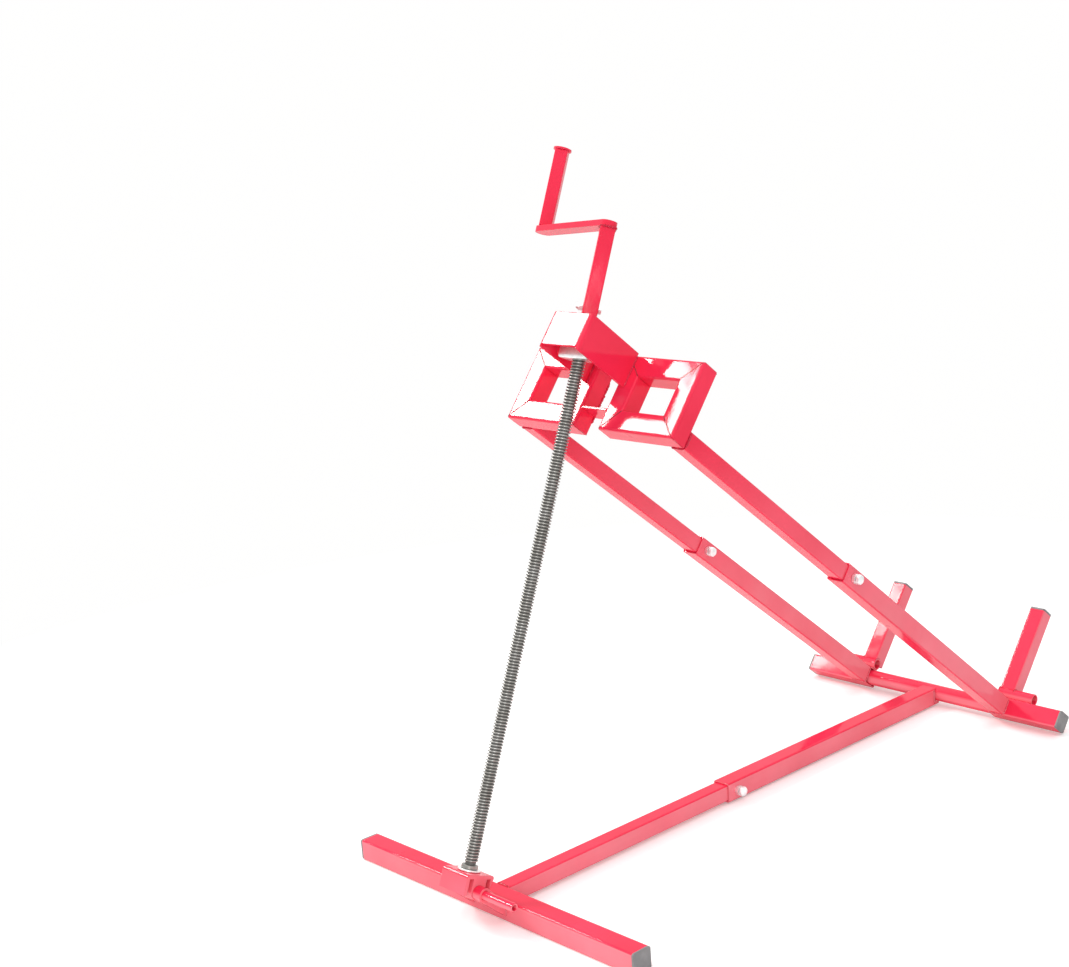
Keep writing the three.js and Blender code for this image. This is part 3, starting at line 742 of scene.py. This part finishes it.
def all_clamps():
    base = Matrix.Translation((TUBE / 2, BASE_CLAMP_Y, BASE_Z))
    clamp_pieces("base", base, "base_clamp_nut", "base_clamp_screw")
    for side, sign in SIDES:
        x = sign * ARM_AT + TUBE / 2 + WELD_GAP
        at = LIFT @ Matrix.Translation((x, -SLEEVE_END + ARM_CLAMP_INSET, 0))
        clamp_pieces(side, at, f"arm_clamp_nut_{side}", f"arm_clamp_screw_{side}")


# Cross bolt of the crank socket: a hexagon head behind and a domed cap nut in front

def cross_bolt_pieces():
    flats = 0.010
    middle = SOCKET @ Matrix.Translation((0, 0, CROSS_AT))
    outside = Matrix.Translation((0, 0, SOCKET_HALF + WELD_GAP))
    right = middle @ Z_TO_X @ outside
    head = hexagon(flats, height=0.004)
    shank = lathe([(0, -0.0245), (0.0028, -0.0245), (0.0030, -0.0240), (0.0030, 0.0010),
                   (0, 0.0010)], 32)
    shape = merge((*head, right), (*shank, right))
    replace_node("cross_bolt_hexagon", shape, ZINC, "crank_cross_bolt")
    left = middle @ Z_TO_MINUS_X @ outside
    nut = hexagon(flats, height=0.005, bore=0.0066, both=True)
    dome_low = 0.0046
    dome_steps = 12
    profile = [(0.0, 0.0088), (0.0031, 0.0080), (0.0033, dome_low)]
    for i in range(dome_steps + 1):
        t = i / dome_steps * math.pi / 2
        profile.append((0.00475 * math.cos(t), dome_low + 0.0050 * math.sin(t)))
    cup = lathe(profile)
    shape = merge((*nut, left), (*cup, left))
    replace_node("cap_nut_domed", shape, ZINC, "crank_cross_nut")


# Round tubes that show, with chamfered ends

def tube_piece(name, radius, wall, low, high, matrix, node):
    soft = min(0.0006, wall / 3)
    inner = radius - wall
    shape = lathe([(inner + soft, low), (radius - soft, low), (radius, low + soft),
                   (radius, high - soft), (radius - soft, high), (inner + soft, high),
                   (inner, high - soft), (inner, low + soft)], 64, True)
    replace_node(name, shape, PAINT, node, matrix)


def all_round_tubes():
    tube_piece("hinge_pipe_turned", radius=0.0132, wall=0.0026, low=-0.239, high=0.239,
               matrix=HINGE @ Z_TO_X, node="hinge_pipe")
    tube_piece("swivel_pin_tube", radius=0.006, wall=0.0025, low=-0.042, high=0.096,
               matrix=Matrix.Translation((0, PIN_Y, PIN_Z)) @ Z_TO_X, node="swivel_pin")
    on_stub = TUBE / 2 + WELD_GAP + STOP_RADIUS
    place = LIFT @ Matrix.Translation((0, 0, on_stub)) @ Z_TO_X
    for side, sign in SIDES:
        low, high = sorted((sign * (ARM_AT - TUBE / 2), sign * STOP_END))
        tube_piece(f"stop_round_tube_{side}", radius=STOP_RADIUS, wall=0.0025, low=low,
                   high=high, matrix=place, node=f"stop_round_{side}")


# Weld beads. Their paths stand OFF_FACE off the faces that they run along, and END_INSET short
# of the edges that they run between
OFF_FACE = 0.0002
END_INSET = 0.001
ON_STUBS = {"body": "lift_lower", "matrix": LIFT}
ON_CRADLES = {"body": "lift_upper", "matrix": LIFT}


def square_path(x, z, half, y, sides):
    """Lines round a square tube whose end stands on a face across Y."""
    corner = half - 0.002
    lines = {
        "t": [(x - corner, y, z + half), (x + corner, y, z + half)],
        "b": [(x - corner, y, z - half), (x + corner, y, z - half)],
        "l": [(x - half, y, z - corner), (x - half, y, z + corner)],
        "r": [(x + half, y, z - corner), (x + half, y, z + corner)],
    }
    return [lines[s] for s in sides]


def foot_welds():
    beam = square_path(0, BASE_Z, SLIDE_TUBE / 2, TUBE / 2 + OFF_FACE, "tlr")
    weld("weld_foot_beam", beam, radius=0.0017, body="front_base")
    lug_half = 0.007
    low = 0.009
    high = 0.026
    y = -TUBE / 2 - OFF_FACE
    paths = []
    for sign in (-1, 1):
        for edge in (-lug_half, lug_half):
            x = sign * PIN_LUG_AT + edge
            paths.append([(x, y, low), (x, y, high)])
    weld("weld_pin_lugs", paths, radius=0.0016, body="front_base")


def rear_welds():
    """Upright beads where the base beam's sides meet the hinge pipe."""
    y = HINGE_Y - 0.0134
    lean = 0.002
    low = 0.006
    high = 0.030
    paths = [[(x, y, low), (x, y - lean, high)] for x in (-TUBE / 2, TUBE / 2)]
    weld("weld_beam_pipe", paths, radius=0.0019, body="rear_base")


def stop_round_paths(sign):
    """Two lines on the stub, along both sides of the stop's round."""
    start = ARM_AT - TUBE / 2 + END_INSET
    end = 0.193
    beside = 0.006
    z = TUBE / 2 + OFF_FACE + 0.0012
    low, high = sorted((sign * start, sign * end))
    return [[(low, y, z), (high, y, z)] for y in (-beside, beside)]


def stop_post_paths(x):
    """An arc over the stop's round, on each side of the post."""
    half_sweep = 70
    steps = 8
    radius = STOP_RADIUS + 0.0004
    middle = TUBE / 2 + STOP_RADIUS + WELD_GAP
    angles = [math.radians(half_sweep - 2 * half_sweep * i / steps) for i in range(steps + 1)]
    return [[(x + edge, radius * math.sin(a), middle + radius * math.cos(a)) for a in angles]
            for edge in (-POST_HALF, POST_HALF)]


def arm_welds():
    stub_front = -TUBE / 2 - OFF_FACE
    cradle_rear = TUBE - CRADLE_FRONT + OFF_FACE
    for side, sign in SIDES:
        x = sign * ARM_AT
        stub = square_path(x, 0, TUBE / 2, stub_front, "lrtb")
        weld(f"weld_arm_stub_{side}", stub, radius=0.0018, **ON_STUBS)
        weld(f"weld_stop_round_{side}", stop_round_paths(sign), radius=0.0021, **ON_STUBS)
        weld(f"weld_stop_post_{side}", stop_post_paths(x), radius=0.0015, **ON_STUBS)
        cradle = square_path(x, 0, SLIDE_TUBE / 2, cradle_rear, "lrtb")
        weld(f"weld_cradle_arm_{side}", cradle, radius=0.0017, **ON_CRADLES)


def cradle_seams():
    """A thin dark line where each mitre was welded and ground flat."""
    start = 0.0012
    end = TUBE - 0.0006
    for side, sign in SIDES:
        near = sign * CRADLE_HALF_GAP
        far = sign * (CRADLE_HALF_GAP + CRADLE_WIDTH)
        paths = []
        for x, dx in ((near, sign), (far, -sign)):
            for z, dz in ((CRADLE_LOW, 1), (CRADLE_HIGH, -1)):
                for y in (-CRADLE_FRONT, -CRADLE_FRONT + TUBE):
                    paths.append([(x + dx * start, y, z + dz * start),
                                  (x + dx * end, y, z + dz * end)])
        weld(f"seam_cradle_{side}", paths, radius=0.0006, material=SEAM, ripple=0.003,
             lump=0.5, sides=6, **ON_CRADLES)


def head_welds():
    """Beads on the head's side sheets, the cradles' inner bars and the tie plate."""
    front = -CRADLE_FRONT - OFF_FACE
    rear = -CRADLE_FRONT + TUBE - 0.002
    inner_low = CRADLE_LOW + 0.018
    inner_high = CRADLE_HIGH - 0.030
    for side, sign in SIDES:
        sheet = (sign * HEAD_HALF, sign * (HEAD_HALF - HEAD_SHEET))
        paths = [[(x, front, HEAD_LOW + END_INSET), (x, front, CRADLE_HIGH - END_INSET)]
                 for x in sheet]
        weld(f"weld_head_{side}", paths, radius=0.0016, **ON_CRADLES)
        x = sign * CRADLE_HALF_GAP
        paths = [[(x, rear, inner_low), (x, rear, inner_high)]]
        weld(f"weld_inner_bar_{side}", paths, radius=0.0016, lump=0.6, ripple=0.005,
             **ON_CRADLES)
    plate_half = CRADLE_HALF_GAP - 0.0004
    plate_front = -CRADLE_FRONT + 0.002
    plate_z = CRADLE_LOW + TUBE
    paths = [[(x, plate_front, plate_z), (x, rear, plate_z)]
             for x in (-plate_half, plate_half)]
    weld("weld_tie_plate", paths, radius=0.0013, **ON_CRADLES)


def crank_welds():
    """A ring round the socket's top, and one round the grip's pin."""
    half = SOCKET_HALF
    c = half - END_INSET
    z = SOCKET_TOP
    ring = [(-c, -half, z), (c, -half, z), (half, -c, z), (half, c, z), (c, half, z),
            (-c, half, z), (-half, c, z), (-half, -c, z), (-c, -half, z)]
    weld("weld_crank_socket", [ring], radius=0.0018, body=body_of("crank_socket"),
         matrix=SOCKET, lump=0.4)
    radius = 0.0077
    steps = 24
    on_bar = SOCKET_TOP + WELD_GAP + CRANK_THICKNESS + WELD_GAP
    angles = [2 * math.pi * i / steps for i in range(steps + 1)]
    loop = [(-CRANK_REACH + radius * math.cos(a), radius * math.sin(a), on_bar)
            for a in angles]
    weld("weld_grip_pin", [loop], radius=0.0006, body=body_of("crank_bar"), matrix=CRANK)


# Floor, room, lamps and camera

def make_floor():
    rim = 96
    angles = [2 * math.pi * i / rim for i in range(rim)]
    points = [(FLOOR_RADIUS * math.cos(a), FLOOR_RADIUS * math.sin(a), 0) for a in angles]
    mesh = bpy.data.meshes.new("floor")
    mesh.from_pydata(points, [], [tuple(range(rim))])
    mesh.materials.append(floor_material("pale_floor"))
    floor = bpy.data.objects.new("floor", mesh)
    middle = (cad_box[0] + cad_box[1]) / 2
    floor.location = (middle.x, middle.y, cad_box[0].z - FLOOR_DROP)
    add_to_scene(floor)


def make_room():
    world = bpy.data.worlds.new("pale_room")
    bpy.context.scene.world = world
    world.use_nodes = True
    tree = world.node_tree
    blend = tree.nodes.new("ShaderNodeMix")
    blend.data_type = "RGBA"
    tree.links.new(seen_directly(tree), blend.inputs[0])
    blend.inputs[6].default_value = (*ROOM_LIGHT, 1)
    blend.inputs[7].default_value = (*ROOM_WHITE, 1)
    tree.links.new(blend.outputs[2], tree.nodes["Background"].inputs["Color"])


def soft_light(name, at, towards, size, power, colour=LAMP_WHITE):
    lamp = bpy.data.lights.new(name, "AREA")
    lamp.shape = "RECTANGLE"
    lamp.size = size
    lamp.size_y = size
    lamp.energy = power
    lamp.color = colour
    thing = bpy.data.objects.new(name, lamp)
    thing.location = at
    thing.visible_camera = False
    thing.rotation_mode = "QUATERNION"
    thing.rotation_quaternion = (Vector(towards) - Vector(at)).to_track_quat("-Z", "Y")
    add_to_scene(thing)


def make_lights():
    """The window lamp stands where the head's front and the cradles mirror it to the camera."""
    head = Vector((0, 0.22, 0.66))
    to_window = Vector((-0.740, -0.312, 0.596)).normalized()
    window_away = 6.0
    soft_light("window", at=head + window_away * to_window, towards=head, size=1.3, power=215,
               colour=LAMP_WARM)
    soft_light("ceiling", at=(0.2, 0.4, 4.3), towards=(0.2, 0.4, 0), size=7.0, power=150)
    soft_light("front_lamp", at=(2.3, -2.1, 1.5), towards=(0, 0.3, 0.3), size=1.4, power=38)


def make_camera():
    data = bpy.data.cameras.new("camera")
    data.lens = FOCAL_PIXELS * data.sensor_width / PHOTO_WIDTH
    data.shift_x = -CENTRE_RIGHT / PHOTO_WIDTH
    data.shift_y = CENTRE_DOWN / PHOTO_WIDTH
    data.clip_start = 0.05
    data.clip_end = 60
    a, e, r = CAMERA_AZIMUTH, CAMERA_ELEVATION, CAMERA_ROLL
    right = Vector((math.cos(a), math.sin(a), 0))
    back = Vector((math.sin(a) * math.cos(e), -math.cos(a) * math.cos(e), math.sin(e)))
    up = right.cross(-back)
    rolled_right = right * math.cos(r) + up * math.sin(r)
    rolled_up = up * math.cos(r) - right * math.sin(r)
    turn = Matrix((rolled_right, rolled_up, back)).transposed().to_4x4()
    thing = bpy.data.objects.new("camera", data)
    thing.matrix_world = Matrix.Translation(CAMERA_AT) @ turn
    add_to_scene(thing)
    bpy.context.scene.camera = thing


make_camera()
make_floor()
make_room()
make_lights()
screw_piece()
washer_piece()
all_clamps()
cross_bolt_pieces()
all_round_tubes()
foot_welds()
rear_welds()
arm_welds()
cradle_seams()
head_welds()
crank_welds()

bpy.context.scene.view_settings.view_transform = "Standard"
bpy.context.view_layer.update()
